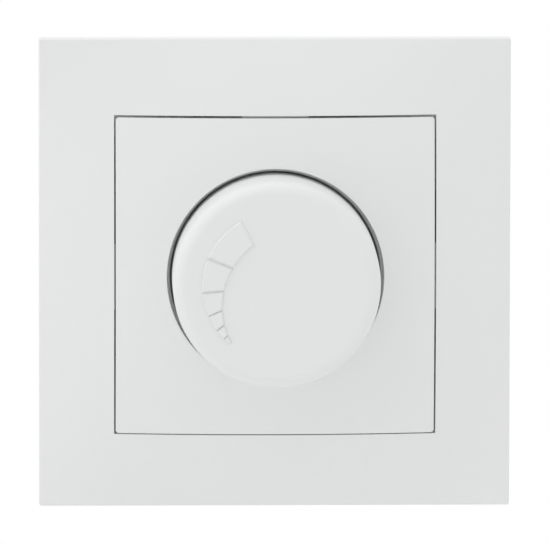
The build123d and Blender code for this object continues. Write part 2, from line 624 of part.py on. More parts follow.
def housing_front():
    """Moulded front: a disc behind the ring, a boss through it, a spigot and two screw posts."""
    disc = cylinder(HOUSING_RADIUS, DISC_BACK, 0) + cylinder(BOSS_RADIUS, 0, BOSS_FRONT)
    spigot = cylinder(CAVITY_RADIUS - SLIDE_GAP, DISC_BACK - SPIGOT_DEPTH, DISC_BACK)
    spigot -= cylinder(CAVITY_RADIUS - SLIDE_GAP - SPIGOT_WALL, -ABOVE, ABOVE)
    spigot -= pockets(POCKET_WALL + SLIDE_GAP)
    spigot -= flat_side(HOUSING_FLAT_WALL + SLIDE_GAP)
    disc += spigot
    disc += columns(COLUMN_RADIUS, POT_BACK, DISC_BACK)
    disc -= columns(HOUSING_SCREW_RADIUS, POT_BACK, POT_BACK + HOUSING_SCREW_BITE)
    disc -= pockets(0)
    disc -= flat_side(0)
    disc -= cylinder(BUSH_RADIUS + RUN_FIT, -ABOVE, ABOVE)
    return disc - four_sides(cylinder(RIVET_RADIUS, -RIVET_DEPTH, 0, RIVET_PLACE, RIVET_PLACE))


def terminal_places():
    """The x of each terminal."""
    first = -TERMINAL_PITCH * (TERMINAL_COUNT - 1) / 2
    return [first + TERMINAL_PITCH * number for number in range(TERMINAL_COUNT)]


def chamber_walls():
    """Walls between and beside the terminals, from the housing's floor to the board."""
    walls = []
    for number in range(TERMINAL_COUNT + 1):
        x = TERMINAL_PITCH * (number - TERMINAL_COUNT / 2)
        across = (x - CHAMBER_WALL / 2, x + CHAMBER_WALL / 2)
        walls.append(block(across, (FLAT_Y, TAIL_INNER_Y), (HOUSING_FLOOR, BOARD_BACK)))
    return walls


def lugs():
    """Ears that carry the claws' pivot pins."""
    reach = (POCKET_INNER_X, CLAW_PIVOT_X + CLAW_EYE_RADIUS)
    levels = (CLAW_PIVOT_Z - LUG_HALF_HEIGHT, CLAW_PIVOT_Z + LUG_HALF_HEIGHT)
    upper = both_sides(block(reach, (POCKET_HALF_WIDTH, POCKET_HALF_WIDTH + LUG_WIDTH), levels))
    return upper + [mirror(ear, about=Plane.XZ) for ear in upper]


def vents():
    """Long slots through the housing's floor."""
    half = VENT_LENGTH / 2
    slots = []
    for number in range(VENT_COUNT):
        y = VENT_START_Y + VENT_PITCH * number
        along = (y - VENT_WIDTH / 2, y + VENT_WIDTH / 2)
        slots.append(block((-half, half), along, (HOUSING_BACK, HOUSING_FLOOR)))
    return slots


def housing_rear():
    """Moulded cup in the wall box: pockets for the claws, chambers for the terminals, posts and vents."""
    cup = cylinder(HOUSING_RADIUS, HOUSING_BACK, DISC_BACK) - flat_side(0)
    cup = fillet(cup.faces().sort_by(Axis.Z)[0].edges(), HOUSING_EDGE_RADIUS)
    cavity = cylinder(CAVITY_RADIUS, HOUSING_FLOOR, DISC_BACK)
    cavity -= pockets(POCKET_WALL)
    cavity -= flat_side(HOUSING_FLAT_WALL)
    cavity -= chamber_walls()
    cavity -= columns(COLUMN_RADIUS, HOUSING_BACK, BOARD_BACK)
    cup -= cavity
    cup -= pockets(0)
    cup += lugs()
    pin = bar_across(CLAW_PIN_RADIUS, 2 * (POCKET_HALF_WIDTH + LUG_WIDTH), CLAW_PIVOT_X, CLAW_PIVOT_Z)
    cup -= both_sides(pin)
    cup -= columns(HOUSING_SCREW_RADIUS + SLIDE_GAP, HOUSING_BACK, BOARD_BACK)
    cup -= columns(HOUSING_SCREW_HEAD_RADIUS + SLIDE_GAP, HOUSING_BACK, COLUMN_SEAT)
    cup -= vents()
    wall_middle = (FLAT_Y + FLAT_INNER_Y) / 2
    half = BAR_WIDTH / 2 + RUN_FIT
    seat_depth = (FLAT_INNER_Y - BAR_SEAT - RUN_FIT, FLAT_INNER_Y)
    seat_levels = (BAR_BACK - RUN_FIT, BAR_FRONT + RUN_FIT)
    for x in terminal_places():
        cup -= bar_across(WIRE_HOLE_RADIUS, HOUSING_FLAT_WALL, x, WIRE_Z, wall_middle)
        cup -= cylinder(DRIVER_HOLE_RADIUS, HOUSING_BACK, HOUSING_FLOOR, x, TERMINAL_Y)
        cup -= block((x - half, x + half), seat_depth, seat_levels)
    return cup


def housing_screws():
    """Two long screws from the rear into the front's posts, through the board."""
    tip = POT_BACK + HOUSING_SCREW_BITE
    head_back = COLUMN_SEAT - HOUSING_SCREW_HEAD_HEIGHT
    screw = cylinder(HOUSING_SCREW_RADIUS, head_back, tip, COLUMN_X, COLUMN_Y)
    screw += cylinder(HOUSING_SCREW_HEAD_RADIUS, head_back, COLUMN_SEAT, COLUMN_X, COLUMN_Y)
    screw -= screw_slot(HOUSING_SCREW_HEAD_RADIUS, head_back, COLUMN_X, COLUMN_Y)
    return Part() + both_sides(screw)


def claw():
    """Right-hand claw: an eye on the pivot pin, a forked foot inwards and a toothed arm forwards."""
    x, z = CLAW_PIVOT_X, CLAW_PIVOT_Z
    half = CLAW_SHEET / 2
    wide = (-CLAW_HALF_WIDTH, CLAW_HALF_WIDTH)
    top = z + CLAW_ARM_LENGTH
    body = bar_across(CLAW_EYE_RADIUS, 2 * CLAW_HALF_WIDTH, x, z)
    body += block((x - CLAW_FOOT_REACH, x), wide, (z - half, z + half))
    body += block((x - half, x + half), wide, (z, top))
    step = CLAW_TOOTH_WIDTH / 2
    outline = make_face(Polyline((0, -step), (CLAW_TOOTH_REACH, 0), (0, step), close=True))
    tooth = extrude(outline, CLAW_SHEET)
    for number in range(CLAW_TOOTH_COUNT):
        y = CLAW_TOOTH_WIDTH * (number - (CLAW_TOOTH_COUNT - 1) / 2)
        body += Pos(x + half, y, top - CLAW_SHEET) * tooth
    fork = CLAW_SCREW_RADIUS + SLIDE_GAP
    body -= block((0, x - CLAW_FORK_ROOT), (-fork, fork), (z - CLAW_EYE_RADIUS, z + CLAW_EYE_RADIUS))
    return body - bar_across(CLAW_PIN_RADIUS + RUN_FIT, 2 * HOUSING_RADIUS, x, z)


def claw_pins():
    """Pivot pins of both claws."""
    pin = bar_across(CLAW_PIN_RADIUS, 2 * (POCKET_HALF_WIDTH + LUG_WIDTH), CLAW_PIVOT_X, CLAW_PIVOT_Z)
    return Part() + both_sides(pin)


def claw_screw():
    """Right-hand claw screw, with its head in front of the ring."""
    seat = RING_THICKNESS + THRUST_GAP
    screw = cylinder(CLAW_SCREW_RADIUS, CLAW_TIP_Z, seat, CLAW_SCREW_X)
    screw += cylinder(CLAW_HEAD_RADIUS, seat, seat + CLAW_HEAD_HEIGHT, CLAW_SCREW_X)
    return screw - screw_slot(CLAW_HEAD_RADIUS, seat + CLAW_HEAD_HEIGHT, CLAW_SCREW_X)


def claw_nut():
    """Right-hand claw nut: a round bar across the pocket, threaded on the screw under the claw's foot."""
    nut = bar_across(CLAW_NUT_RADIUS, 2 * (POCKET_HALF_WIDTH - SLIDE_GAP), CLAW_SCREW_X, CLAW_NUT_Z)
    return nut - cylinder(CLAW_SCREW_RADIUS + RUN_FIT, -ABOVE, ABOVE, CLAW_SCREW_X)


def circuit_board():
    """Round board with a square hole for the switch, between the housing's posts."""
    board = cylinder(CAVITY_RADIUS - FREE_GAP, BOARD_BACK, POT_BACK)
    board -= pockets(POCKET_WALL + FREE_GAP)
    board -= flat_side(HOUSING_FLAT_WALL + FREE_GAP)
    half = SWITCH_SIDE / 2 + SLIDE_GAP
    board -= block((-half, half), (-half, half), (-ABOVE, ABOVE))
    return board - columns(HOUSING_SCREW_RADIUS + SLIDE_GAP, -ABOVE, ABOVE)


def choke_ring(grow):
    """The choke's ring, with its axis along x, grown on every side by a winding's thickness."""
    ring = Cylinder(CHOKE_RADIUS + grow, CHOKE_LENGTH + 2 * grow)
    ring -= Cylinder(CHOKE_HOLE_RADIUS - grow, CHOKE_LENGTH + 2 * grow)
    z = BOARD_BACK - CHOKE_RADIUS - CHOKE_WINDING
    return Pos(CHOKE_X, 0, z) * Rot(0, 90, 0) * ring


def choke_winding():
    """Copper winding round the core, open where the two ends meet."""
    z = BOARD_BACK - CHOKE_RADIUS - CHOKE_WINDING
    half = CHOKE_GAP_WIDTH / 2
    gap = block((-HOUSING_RADIUS, 0), (-half, half), (HOUSING_BACK, z))
    return choke_ring(CHOKE_WINDING) - choke_ring(0) - gap


def heat_sink():
    """Aluminium plate beside the pocket, with a threaded hole for the triac's screw."""
    half = SINK_WIDTH / 2
    plate = block((SINK_X - SINK_THICKNESS, SINK_X), (-half, half), (SINK_BACK, BOARD_BACK))
    return plate - triac_screw_bar(TRIAC_SCREW_RADIUS, SINK_X - SINK_THICKNESS, SINK_X)


def triac_screw_bar(radius, low, high):
    """A round bar along x on the axis of the triac's screw."""
    return Pos((low + high) / 2, 0, TRIAC_SCREW_Z) * Rot(0, 90, 0) * Cylinder(radius, high - low)


def triac():
    """Moulded body with a metal tab on the heat sink and three leads to the board."""
    back = SINK_X - SINK_THICKNESS
    half = TRIAC_WIDTH / 2
    body = block((back - TRIAC_DEPTH, back), (-half, half), (TRIAC_BACK, TRIAC_FRONT))
    body += block((back - TRIAC_TAB, back), (-half, half), (SINK_BACK, TRIAC_FRONT))
    lead_x = back - TRIAC_DEPTH / 2
    lead = TRIAC_LEAD / 2
    for number in (-1, 0, 1):
        y = number * TRIAC_LEAD_PITCH
        body += block((lead_x - lead, lead_x + lead), (y - lead, y + lead), (TRIAC_FRONT, BOARD_BACK))
    return body - triac_screw_bar(TRIAC_SCREW_RADIUS, back - TRIAC_TAB, back)


def triac_screw():
    """Screw through the triac's tab into the heat sink."""
    seat = SINK_X - SINK_THICKNESS - TRIAC_TAB
    head = triac_screw_bar(TRIAC_SCREW_HEAD_RADIUS, seat - TRIAC_SCREW_HEAD_HEIGHT, seat)
    return head + triac_screw_bar(TRIAC_SCREW_RADIUS, seat, SINK_X)


def box_capacitor(length, width, height, y, seat, way):
    """Moulded box capacitor that stands on the board, with rounded upright edges."""
    outline = Pos(0, y, seat) * RectangleRounded(length, width, CAPACITOR_CORNER_RADIUS)
    return extrude(outline, way * height)


def axial(radius, length, x, y):
    """A small round part along x, with its two leads bent down to the board's front."""
    z = POT_BACK + AXIAL_LIFT + radius
    run = length / 2 + LEAD_RUN
    part = Pos(x, y, z) * Rot(0, 90, 0) * Cylinder(radius, length)
    part += Pos(x, y, z) * Rot(0, 90, 0) * Cylinder(LEAD_RADIUS, 2 * run)
    for end in (x - run, x + run):
        part += cylinder(LEAD_RADIUS, POT_BACK, z, end, y)
    return part


def resistors():
    """Two resistors on the board, above and below the claw's pocket."""
    return Part() + [axial(RESISTOR_RADIUS, RESISTOR_LENGTH, AXIAL_X, y) for y in (AXIAL_Y, -AXIAL_Y)]


def fuse_bar(radius, low, high):
    """A round bar along x on the fuse's axis."""
    return Pos((low + high) / 2, FUSE_Y, FUSE_Z) * Rot(0, 90, 0) * Cylinder(radius, high - low)


def fuse_tube():
    """Glass tube of the fuse."""
    half = FUSE_LENGTH / 2 - FUSE_CAP_WALL
    outer = FUSE_RADIUS - FUSE_CAP_WALL
    return fuse_bar(outer, -half, half) - fuse_bar(outer - FUSE_GLASS_WALL, -half, half)


def fuse_caps():
    """Metal caps on both ends of the fuse's tube."""
    end = FUSE_LENGTH / 2
    cap = fuse_bar(FUSE_RADIUS, end - FUSE_CAP_LENGTH, end)
    cap -= fuse_bar(FUSE_RADIUS - FUSE_CAP_WALL, end - FUSE_CAP_LENGTH, end - FUSE_CAP_WALL)
    return Part() + both_sides(cap)


def fuse_clips():
    """Spring clips on the board that hold the fuse's caps."""
    middle = (FUSE_LENGTH - FUSE_CAP_LENGTH) / 2
    across = (middle - FUSE_CLIP_LENGTH / 2, middle + FUSE_CLIP_LENGTH / 2)
    reach = FUSE_RADIUS + FUSE_CLIP_WALL
    clip = block(across, (FUSE_Y - reach, FUSE_Y + reach), (FUSE_Z - FUSE_RADIUS / 2, BOARD_BACK))
    clip -= fuse_bar(FUSE_RADIUS, 0, FUSE_LENGTH)
    return Part() + both_sides(clip)


def terminal_bars():
    """Current bars: each is seated in the housing's flat wall, with a tail bent forwards to the board."""
    bars = []
    half = BAR_WIDTH / 2
    for x in terminal_places():
        across = (x - half, x + half)
        bar = block(across, (FLAT_INNER_Y - BAR_SEAT, TAIL_INNER_Y), (BAR_BACK, BAR_FRONT))
        bars.append(bar + block(across, (TAIL_OUTER_Y, TAIL_INNER_Y), (BAR_BACK, BOARD_BACK)))
    return Part() + bars


def terminal_cage(x):
    """Rising cage round a bar, threaded on its screw."""
    half = CAGE_WIDTH / 2
    room = half - CAGE_SIDE_WALL
    cage = block((x - half, x + half), (CAGE_OUTER_Y, CAGE_INNER_Y), (CAGE_BACK, CAGE_FRONT))
    cage -= block((x - room, x + room), (CAGE_OUTER_Y, CAGE_INNER_Y), (CAGE_INNER_BACK, CAGE_INNER_FRONT))
    return cage - cylinder(TERMINAL_SCREW_RADIUS + RUN_FIT, CAGE_BACK, CAGE_INNER_BACK, x, TERMINAL_Y)


def terminal_screw(x):
    """Screw behind the housing's floor, with its tip on the bar."""
    screw = cylinder(TERMINAL_SCREW_RADIUS, TERMINAL_HEAD_BACK, BAR_BACK - THRUST_GAP, x, TERMINAL_Y)
    screw += cylinder(TERMINAL_HEAD_RADIUS, TERMINAL_HEAD_BACK, TERMINAL_HEAD_FRONT, x, TERMINAL_Y)
    return screw - screw_slot(TERMINAL_HEAD_RADIUS, TERMINAL_HEAD_BACK, x, TERMINAL_Y)


pieces = {
    "cover_frame": cover_frame(),
    "centre_plate": centre_plate(),
    "knob": knob(),
    "knob_clip": knob_clip(),
    "shaft": shaft(),
    "shaft_clip": shaft_clip(),
    "pot_bush": pot_bush(),
    "lock_washer": lock_washer(),
    "fixing_nut": fixing_nut(),
    "pot_case": pot_case(),
    "resistive_track": resistive_track(),
    "wiper_rotor": wiper_rotor(),
    "wiper_contact": wiper_contact(),
    "switch_body": switch_body(),
    "switch_plunger": switch_plunger(),
    "switch_bridge": switch_bridge(),
    "switch_contacts": switch_contacts(),
    "return_spring": return_spring(),
    "support_ring": support_ring(),
    "ring_rivets": ring_rivets(),
    "housing_front": housing_front(),
    "housing_rear": housing_rear(),
    "housing_screws": housing_screws(),
    "claw_pins": claw_pins(),
    "circuit_board": circuit_board(),
    "choke_core": choke_ring(0),
    "choke_winding": choke_winding(),
    "heat_sink": heat_sink(),
    "triac": triac(),
    "triac_screw": triac_screw(),
    "suppressor_capacitor": box_capacitor(
        CAPACITOR_LENGTH, CAPACITOR_WIDTH, CAPACITOR_HEIGHT, CAPACITOR_Y, BOARD_BACK, -1
    ),
    "timing_capacitor": box_capacitor(
        TIMING_LENGTH, TIMING_WIDTH, TIMING_HEIGHT, TIMING_Y, POT_BACK, 1
    ),
    "resistors": resistors(),
    "diac": axial(DIAC_RADIUS, DIAC_LENGTH, -AXIAL_X, AXIAL_Y),
    "fuse_tube": fuse_tube(),
    "fuse_caps": fuse_caps(),
    "fuse_clips": fuse_clips(),
    "terminal_bars": terminal_bars(),
}

for maker in (claw, claw_screw, claw_nut):
    for side, shape in zip(("right", "left"), both_sides(maker())):
        pieces[f"{maker.__name__}_{side}"] = shape

for number, x in enumerate(terminal_places(), start=1):
    pieces[f"terminal_cage_{number}"] = terminal_cage(x)
    pieces[f"terminal_screw_{number}"] = terminal_screw(x)

# Stand the model up: the front faces -Y, +Z is up the wall, and the origin is on the wall
upright = Rot(90, 0, 0)
os.makedirs("parts", exist_ok=True)
for name, shape in pieces.items():
    export_step(upright * shape, f"parts/{name}.step")
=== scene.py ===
import json
from math import ceil, cos, pi, radians, sin

import bmesh
import bpy
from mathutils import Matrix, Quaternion, Vector


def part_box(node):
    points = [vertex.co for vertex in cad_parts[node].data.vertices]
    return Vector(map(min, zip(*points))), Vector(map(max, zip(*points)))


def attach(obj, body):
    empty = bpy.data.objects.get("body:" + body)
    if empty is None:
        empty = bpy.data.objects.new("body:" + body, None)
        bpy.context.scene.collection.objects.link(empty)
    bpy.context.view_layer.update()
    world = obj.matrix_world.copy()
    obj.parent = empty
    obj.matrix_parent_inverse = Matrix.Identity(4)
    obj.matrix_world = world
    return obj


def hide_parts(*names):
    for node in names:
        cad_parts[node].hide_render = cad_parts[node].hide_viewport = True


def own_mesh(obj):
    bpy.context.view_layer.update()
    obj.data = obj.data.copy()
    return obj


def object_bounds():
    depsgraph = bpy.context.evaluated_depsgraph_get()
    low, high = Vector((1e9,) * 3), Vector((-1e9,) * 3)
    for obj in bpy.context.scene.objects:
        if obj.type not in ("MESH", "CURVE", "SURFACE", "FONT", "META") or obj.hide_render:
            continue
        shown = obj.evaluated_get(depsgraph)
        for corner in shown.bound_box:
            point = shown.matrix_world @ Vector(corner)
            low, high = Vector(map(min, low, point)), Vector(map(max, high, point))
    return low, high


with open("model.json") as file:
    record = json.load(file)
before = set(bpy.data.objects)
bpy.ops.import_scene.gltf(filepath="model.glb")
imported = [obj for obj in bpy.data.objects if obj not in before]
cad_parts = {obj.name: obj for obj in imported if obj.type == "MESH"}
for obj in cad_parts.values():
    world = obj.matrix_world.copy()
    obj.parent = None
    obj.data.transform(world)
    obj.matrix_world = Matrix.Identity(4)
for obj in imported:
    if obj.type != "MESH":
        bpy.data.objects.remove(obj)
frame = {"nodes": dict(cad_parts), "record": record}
nodes = frame["nodes"]
record = frame["record"]
cad_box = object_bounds()

# Lengths are in metres; MM turns millimetres into them
MM = 0.001

# The photograph's width in pixels, and where its camera stands:
# degrees right of the normal and above it, and its distance
PHOTO_WIDTH = 548
CAMERA_AZIMUTH = -1.6
CAMERA_ELEVATION = 7.9
CAMERA_ROLL = 0.09
CAMERA_DISTANCE = 2.2
CAMERA_AIM = Vector((-0.03 * MM, 0.0, -0.25 * MM))
PIXELS_PER_METRE = 5813.0
SENSOR_WIDTH = 36.0
CLIP_START = 0.01

# Soft boxes by the direction they stand in, with their power in watts
LAMP_DISTANCE = 1.6
LAMP_SIZE = 2.0
LAMPS = {
    "overhead": (Vector((0.0, -0.3, 1.0)), 4.2),
    "upper_left": (Vector((-0.7, -0.2, 0.8)), 4.5),
    "lower_left": (Vector((-0.7, -0.7, -0.25)), 4.2),
    "lower_right": (Vector((0.7, -0.7, -0.25)), 2.8),
}

# The pale room and its background. The room is darker towards the camera's side:
# the direction, the cosine from it where the change starts, and its size
ROOM_LEVEL = 0.88
BACKGROUND_LEVEL = 1.0
DARK_SIDE_WAY = Vector((0.0, -1.0, 0.14)).normalized()
DARK_SIDE_START = 0.3
DARK_SIDE_CHANGE = -0.32

# Floor, below the part, fading out into the background
FLOOR_DROP = 0.08
FLOOR_RADIUS = 0.3
FLOOR_FADE_START = 0.12
FLOOR_COLOUR = (0.9, 0.9, 0.9, 1.0)
FLOOR_ROUGHNESS = 0.8
FLOOR_SEGMENTS = 64

# Finishes: the depth of the bump and its share on metal, the radii that sharp edges seem to have,
# and the scales of the patterns per metre
BUMP_DEPTH = 0.02 * MM
METAL_BUMP = 0.1
PLASTIC_EDGE = 0.08 * MM
METAL_EDGE = 0.1 * MM
WHITE_EDGE = 0.15 * MM
EDGE_SAMPLES = 4
DRIFT_SCALE = 45.0
GRAIN_SCALE = 3000.0
CLOUD_SCALE = 160.0
FLAKE_SCALE = 700.0
DRAWN_LINES = (60.0, 4000.0, 4000.0)
GLASS_COLOUR = (0.95, 0.97, 0.97, 1.0)
GLASS_ROUGHNESS = 0.02

# Threads of the claw screws and the terminal screws; a thread's depth is a share of its pitch
THREAD_STEPS = 20
THREAD_DEPTH_SHARE = 0.55
CLAW_THREAD_RADIUS = 1.5 * MM
CLAW_THREAD_PITCH = 0.5 * MM
CLAW_HEAD_HEIGHT = 1.1 * MM
TERMINAL_THREAD_RADIUS = 1.75 * MM
TERMINAL_THREAD_PITCH = 0.6 * MM
TERMINAL_HEAD_HEIGHT = 1.8 * MM
MERGE_DISTANCE = 0.001 * MM
SMOOTH_ANGLE = 35.0


def add(tree, kind, inputs=None, **settings):
    """One shader node, with its settings and with values or links on its inputs."""
    made = tree.nodes.new(kind)
    for name, value in settings.items():
        setattr(made, name, value)
    for name, value in (inputs or {}).items():
        if isinstance(value, bpy.types.NodeSocket):
            tree.links.new(value, made.inputs[name])
        else:
            made.inputs[name].default_value = value
    return made


def blend_colours(tree, factor, first, second, mode="MIX"):
    """A colour between two others."""
    colour_a, colour_b, colour_out = 6, 7, 2
    inputs = {0: factor, colour_a: first, colour_b: second}
    mix = add(tree, "ShaderNodeMix", inputs, data_type="RGBA", blend_type=mode)
    return mix.outputs[colour_out]


def calculate(tree, operation, first, second):
    """One sum on values."""
    return add(tree, "ShaderNodeMath", {0: first, 1: second}, operation=operation).outputs[0]


def remap(tree, value, low, high):
    """A value from 0 to 1, spread between two others."""
    inputs = {"Value": value, "To Min": low, "To Max": high}
    return add(tree, "ShaderNodeMapRange", inputs).outputs["Result"]


def node_group(name, inputs, outputs):
    """An empty shader node group with named sockets; returns it with its inner ends."""
    tree = bpy.data.node_groups.new(name, "ShaderNodeTree")
    for label, (kind, value) in inputs.items():
        socket = tree.interface.new_socket(label, in_out="INPUT", socket_type=kind)
        socket.default_value = value
    for label, kind in outputs.items():
        tree.interface.new_socket(label, in_out="OUTPUT", socket_type=kind)
    start = tree.nodes.new("NodeGroupInput")
    end = tree.nodes.new("NodeGroupOutput")
    return tree, start.outputs, end.inputs


SKIN_OUTPUTS = {
    "Color": "NodeSocketColor",
    "Roughness": "NodeSocketFloat",
    "Height": "NodeSocketFloat",
}


def object_place(tree):
    """The place on the piece, in metres."""
    return add(tree, "ShaderNodeTexCoord").outputs["Object"]


def moulded_skin_group():
    """Moulded plastic: a slow drift of the colour, and a fine grain."""
    inputs = {
        "Color": ("NodeSocketColor", (0.5, 0.5, 0.5, 1.0)),
        "Drift": ("NodeSocketFloat", 0.03),
        "Gloss Low": ("NodeSocketFloat", 0.3),
        "Gloss High": ("NodeSocketFloat", 0.4),
        "Grain Scale": ("NodeSocketFloat", GRAIN_SCALE),
    }
    tree, given, result = node_group("moulded_skin", inputs, SKIN_OUTPUTS)
    place = object_place(tree)
    slow_inputs = {"Vector": place, "Scale": DRIFT_SCALE, "Detail": 3.0}
    slow = add(tree, "ShaderNodeTexNoise", slow_inputs).outputs[0]
    grain_inputs = {"Vector": place, "Scale": given["Grain Scale"], "Detail": 2.0, "Roughness": 0.6}
    grain = add(tree, "ShaderNodeTexNoise", grain_inputs).outputs[0]
    dark = calculate(tree, "SUBTRACT", 1.0, given["Drift"])
    shade_inputs = {"Value": slow, "From Min": 0.3, "From Max": 0.7, "To Min": dark}
    shade = add(tree, "ShaderNodeMapRange", shade_inputs)
    grey = add(tree, "ShaderNodeCombineColor", {i: shade.outputs[0] for i in range(3)}).outputs[0]
    tree.links.new(blend_colours(tree, 1.0, given["Color"], grey, "MULTIPLY"), result["Color"])
    gloss = remap(tree, slow, given["Gloss Low"], given["Gloss High"])
    tree.links.new(gloss, result["Roughness"])
    tree.links.new(grain, result["Height"])
    return tree


def metal_skin_group():
    """Plated or bare metal: crystal flakes, a cloudy tarnish and drawn lines along one axis."""
    inputs = {
        "Color": ("NodeSocketColor", (0.6, 0.6, 0.6, 1.0)),
        "Tarnish": ("NodeSocketColor", (0.4, 0.4, 0.4, 1.0)),
        "Flake Scale": ("NodeSocketFloat", FLAKE_SCALE),
        "Flake": ("NodeSocketFloat", 0.3),
        "Cloud": ("NodeSocketFloat", 0.3),
        "Line Stretch": ("NodeSocketVector", DRAWN_LINES),
        "Gloss Low": ("NodeSocketFloat", 0.25),
        "Gloss High": ("NodeSocketFloat", 0.45),
    }
    tree, given, result = node_group("metal_skin", inputs, SKIN_OUTPUTS)
    place = object_place(tree)
    flakes = add(tree, "ShaderNodeTexVoronoi", {"Vector": place, "Scale": given["Flake Scale"]})
    flake = add(tree, "ShaderNodeSeparateColor", {"Color": flakes.outputs["Color"]}).outputs[0]
    cloud_inputs = {"Vector": place, "Scale": CLOUD_SCALE, "Detail": 5.0, "Roughness": 0.65}
    cloud = add(tree, "ShaderNodeTexNoise", cloud_inputs).outputs[0]
    stretch = {0: place, 1: given["Line Stretch"]}
    stretched = add(tree, "ShaderNodeVectorMath", stretch, operation="MULTIPLY").outputs[0]
    line_inputs = {"Vector": stretched, "Scale": 1.0, "Detail": 2.0}
    lines = add(tree, "ShaderNodeTexNoise", line_inputs).outputs[0]
    flaked = calculate(tree, "MULTIPLY", flake, given["Flake"])
    clouded = calculate(tree, "MULTIPLY", cloud, given["Cloud"])
    cover_inputs = {0: flaked, 1: clouded}
    cover = add(tree, "ShaderNodeMath", cover_inputs, operation="ADD", use_clamp=True).outputs[0]
    tree.links.new(blend_colours(tree, cover, given["Color"], given["Tarnish"]), result["Color"])
    mixed = calculate(tree, "MULTIPLY", calculate(tree, "ADD", flake, lines), 0.5)
    tree.links.new(remap(tree, mixed, given["Gloss Low"], given["Gloss High"]), result["Roughness"])
    tree.links.new(lines, result["Height"])
    return tree


def soft_edge_group():
    """Sharp edges catch the light as if they were rounded a little."""
    inputs = {"Radius": ("NodeSocketFloat", METAL_EDGE)}
    outputs = {"Normal": "NodeSocketVector"}
    tree, given, result = node_group("soft_edge", inputs, outputs)
    rounded = add(tree, "ShaderNodeBevel", {"Radius": given["Radius"]}, samples=EDGE_SAMPLES)
    tree.links.new(rounded.outputs[0], result["Normal"])
    return tree


MOULDED_SKIN = moulded_skin_group()
METAL_SKIN = metal_skin_group()
SOFT_EDGE = soft_edge_group()


def place_group(tree, group, inputs):
    """A node group in a material, with its own values."""
    return add(tree, "ShaderNodeGroup", inputs, node_tree=group)


def new_material(name):
    """A material with an empty Principled shader; returns it, its tree and the shader."""
    made = bpy.data.materials.new(name)
    made.use_nodes = True
    tree = made.node_tree
    return made, tree, tree.nodes["Principled BSDF"]


def surface_normal(tree, shader, height, strength, edge_radius):
    """Bump over softened edges, on the shader's normal."""
    edge = place_group(tree, SOFT_EDGE, {"Radius": edge_radius}).outputs["Normal"]
    inputs = {"Strength": strength, "Distance": BUMP_DEPTH, "Height": height, "Normal": edge}
    tree.links.new(add(tree, "ShaderNodeBump", inputs).outputs[0], shader.inputs["Normal"])


def plastic(name, colour, gloss, drift=0.03, bump=0.1, edge=PLASTIC_EDGE):
    """A moulded plastic finish."""
    made, tree, shader = new_material(name)
    inputs = {
        "Color": (*colour, 1.0),
        "Drift": drift,
        "Gloss Low": gloss[0],
        "Gloss High": gloss[1],
    }
    skin = place_group(tree, MOULDED_SKIN, inputs)
    tree.links.new(skin.outputs["Color"], shader.inputs["Base Color"])
    tree.links.new(skin.outputs["Roughness"], shader.inputs["Roughness"])
    surface_normal(tree, shader, skin.outputs["Height"], bump, edge)
    return made


def metal(name, colour, tarnish, gloss, flake=0.0):
    """A metal finish."""
    made, tree, shader = new_material(name)
    inputs = {
        "Color": (*colour, 1.0),
        "Tarnish": (*tarnish, 1.0),
        "Flake": flake,
        "Gloss Low": gloss[0],
        "Gloss High": gloss[1],
    }
    skin = place_group(tree, METAL_SKIN, inputs)
    tree.links.new(skin.outputs["Color"], shader.inputs["Base Color"])
    tree.links.new(skin.outputs["Roughness"], shader.inputs["Roughness"])
    shader.inputs["Metallic"].default_value = 1.0
    surface_normal(tree, shader, skin.outputs["Height"], METAL_BUMP, METAL_EDGE)
    return made


def fuse_glass():
    """Clear glass."""
    made, tree, shader = new_material("fuse_glass")
    shader.inputs["Base Color"].default_value = GLASS_COLOUR
    shader.inputs["Roughness"].default_value = GLASS_ROUGHNESS
    shader.inputs["Transmission Weight"].default_value = 1.0
    return made


FINISHES = {
    "white_plastic": plastic(
        "white_plastic", (0.835, 0.845, 0.84), (0.4, 0.46), drift=0.012, bump=0.03, edge=WHITE_EDGE
    ),
    "housing_plastic": plastic(
        "housing_plastic", (0.055, 0.057, 0.06), (0.42, 0.6), drift=0.15, bump=0.5
    ),
    "switch_plastic": plastic("switch_plastic", (0.5, 0.5, 0.47), (0.4, 0.55)),
    "galvanised": metal("galvanised", (0.62, 0.63, 0.64), (0.4, 0.42, 0.44), (0.3, 0.5), flake=0.5),
    "zinc_screw": metal("zinc_screw", (0.66, 0.66, 0.65), (0.45, 0.46, 0.48), (0.22, 0.38)),
    "spring_steel": metal("spring_steel", (0.5, 0.5, 0.5), (0.34, 0.34, 0.35), (0.2, 0.3)),
    "nickel_brass": metal("nickel_brass", (0.72, 0.6, 0.36), (0.5, 0.38, 0.2), (0.2, 0.35)),
    "copper": metal("copper", (0.66, 0.3, 0.16), (0.45, 0.18, 0.09), (0.2, 0.3)),
    "bare_aluminium": metal("bare_aluminium", (0.7, 0.7, 0.71), (0.55, 0.56, 0.58), (0.3, 0.45)),
    "board": plastic("board", (0.09, 0.22, 0.09), (0.3, 0.45), drift=0.2),
    "black_epoxy": plastic("black_epoxy", (0.03, 0.03, 0.03), (0.45, 0.6), drift=0.1, bump=0.3),
    "blue_film": plastic("blue_film", (0.08, 0.16, 0.42), (0.2, 0.3), drift=0.1),
    "yellow_film": plastic("yellow_film", (0.7, 0.46, 0.08), (0.3, 0.4), drift=0.06),
    "ferrite": plastic("ferrite", (0.06, 0.06, 0.065), (0.5, 0.7), drift=0.2, bump=0.4),
    "resistor_body": plastic("resistor_body", (0.55, 0.42, 0.28), (0.3, 0.45), drift=0.08),
    "carbon": plastic("carbon", (0.03, 0.03, 0.032), (0.5, 0.7), drift=0.1),
    "fuse_glass": fuse_glass(),
}


def dress_nodes():
    """Gives each CAD node the finish of its slot."""
    for part in record["subparts"]:
        mesh = nodes[part["node"]].data
        mesh.materials.clear()
        mesh.materials.append(FINISHES[part["material_slot"]])


